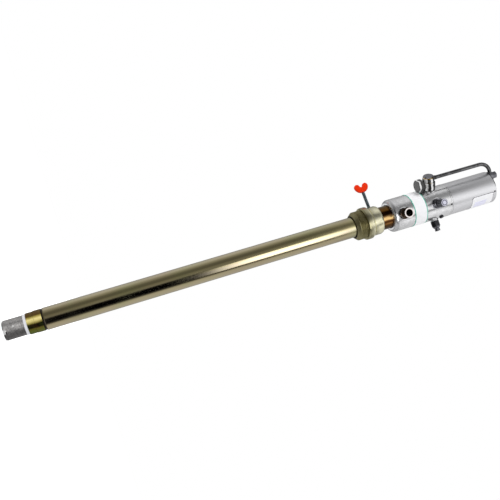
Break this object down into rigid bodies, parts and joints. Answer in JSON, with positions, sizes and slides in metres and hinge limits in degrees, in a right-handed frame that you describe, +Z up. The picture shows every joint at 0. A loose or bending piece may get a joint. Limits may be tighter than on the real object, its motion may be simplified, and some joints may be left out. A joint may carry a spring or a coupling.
{
  "type": "pneumatic drum pump",
  "caption": "Air-driven piston pump for drums, with a long suction tube, a notched foot, a bung adapter that slides and locks on the tube, and an air motor with an outside air pipe.",
  "frame": {"origin": "The centre of the bung adapter's seat on the drum, where its flange meets the drum thread.", "axes": "+Z runs up the pump's axis from the suction foot to the air cylinder. The fluid outlet and the exhaust face -Y. The air inlet is ten degrees from +X."},
  "size_m": [0.1413, 0.0998, 1.051],
  "materials": {
    "cast_grey": "rough sand-cast",
    "strainer_steel": "bright",
    "white_seal": "smooth, matt",
    "yellow_zinc": "yellow passivated zinc",
    "copper_zinc": "yellow passivated zinc, turned",
    "olive_zinc": "yellow passivated zinc on a casting",
    "steel": "turned",
    "ball_steel": "polished",
    "piston_bronze": "turned",
    "plated_rod": "hard chromed, ground",
    "black_rubber": "matt",
    "stud_steel": "plated",
    "orange_plastic": "moulded",
    "cast_aluminium": "bead-blasted",
    "drawn_aluminium": "satin",
    "black_steel": "blackened",
    "dark_brass": "darkened, with a bright end",
    "nickel": "nickel plated",
    "chrome": "polished",
    "brass": "bright",
    "label_white": "printed film, bare"
  },
  "bodies": {
    "adapter": {"bung_adapter": "olive_zinc"},
    "swivel": {"adapter_bush": "black_rubber"},
    "pump": {"suction_foot": "cast_grey", "suction_strainer": "strainer_steel", "strainer_pin": "strainer_steel", "foot_gasket": "white_seal", "lower_housing": "yellow_zinc", "suction_tube": "yellow_zinc", "tube_collar": "copper_zinc", "foot_valve_seat": "steel", "ball_stop_pin": "steel", "pump_liner": "steel", "gland_clip": "steel", "valve_plug": "steel", "gland_bush": "piston_bronze", "valve_liner": "piston_bronze", "collar_gasket": "black_rubber", "rod_packing": "black_rubber", "cap_seal": "black_rubber", "outlet_washer": "black_rubber", "transfer_washer": "black_rubber", "motor_body": "cast_aluminium", "air_cylinder": "drawn_aluminium", "cylinder_cap": "drawn_aluminium", "set_screws": "black_steel", "gallery_plug": "black_steel", "inlet_bush": "black_steel", "outlet_nipple": "dark_brass", "silencer_base": "nickel", "silencer_cap": "nickel", "inlet_nipple": "nickel", "cap_banjo": "nickel", "cap_bolt": "nickel", "transfer_adapter": "chrome", "side_plug": "chrome", "transfer_banjo": "chrome", "banjo_bolt": "chrome", "transfer_pipe": "chrome", "sealing_washers": "brass", "band_label": "label_white", "cylinder_label": "label_white"},
    "lock_stud": {"lock_stud": "stud_steel"},
    "lock_wing": {"wing_head": "orange_plastic"},
    "piston_rod_assembly": {"pump_piston": "piston_bronze", "pump_piston_seals": "white_seal", "pump_piston_seat": "steel", "pump_rod": "steel", "rod_coupling": "steel", "piston_rod": "plated_rod", "air_piston": "drawn_aluminium", "air_piston_seal": "black_rubber", "piston_nut": "steel"},
    "valve_spool": {"valve_spool": "plated_rod", "valve_seals": "black_rubber"},
    "foot_ball": {"foot_valve_ball": "ball_steel"},
    "piston_ball": {"pump_piston_ball": "ball_steel"}
  },
  "joints": [
    {"name": "tube_swivel", "type": "hinge", "parent": "adapter", "child": "swivel", "pos_m": [0, 0, 0], "axis": [0, 0, 1], "continuous": true},
    {"name": "height_adjust", "type": "slide", "parent": "swivel", "child": "pump", "axis": [0, 0, 1], "range_m": [0, 0.6]},
    {"name": "lock_travel", "type": "slide", "parent": "adapter", "child": "lock_stud", "axis": [-0.9659, 0.2588, 0], "range_m": [0, 0.005]},
    {"name": "wing_turn", "type": "hinge", "parent": "lock_stud", "child": "lock_wing", "pos_m": [-0.06761, 0.01812, 0.0273], "axis": [-0.9659, 0.2588, 0], "range_deg": [0, 1800]},
    {"name": "piston_stroke", "type": "slide", "parent": "pump", "child": "piston_rod_assembly", "axis": [0, 0, 1], "range_m": [0, 0.075]},
    {"name": "spool_shift", "type": "slide", "parent": "pump", "child": "valve_spool", "axis": [0, 0, 1], "range_m": [0, 0.006]},
    {"name": "foot_ball_lift", "type": "slide", "parent": "pump", "child": "foot_ball", "axis": [0, 0, 1], "range_m": [0, 0.006]},
    {"name": "piston_ball_lift", "type": "slide", "parent": "piston_rod_assembly", "child": "piston_ball", "axis": [0, 0, 1], "range_m": [0, 0.004]}
  ],
  "couplings": [
    {"joint": "lock_travel", "follows": "wing_turn", "m_per_rad": 0.000159}
  ]
}
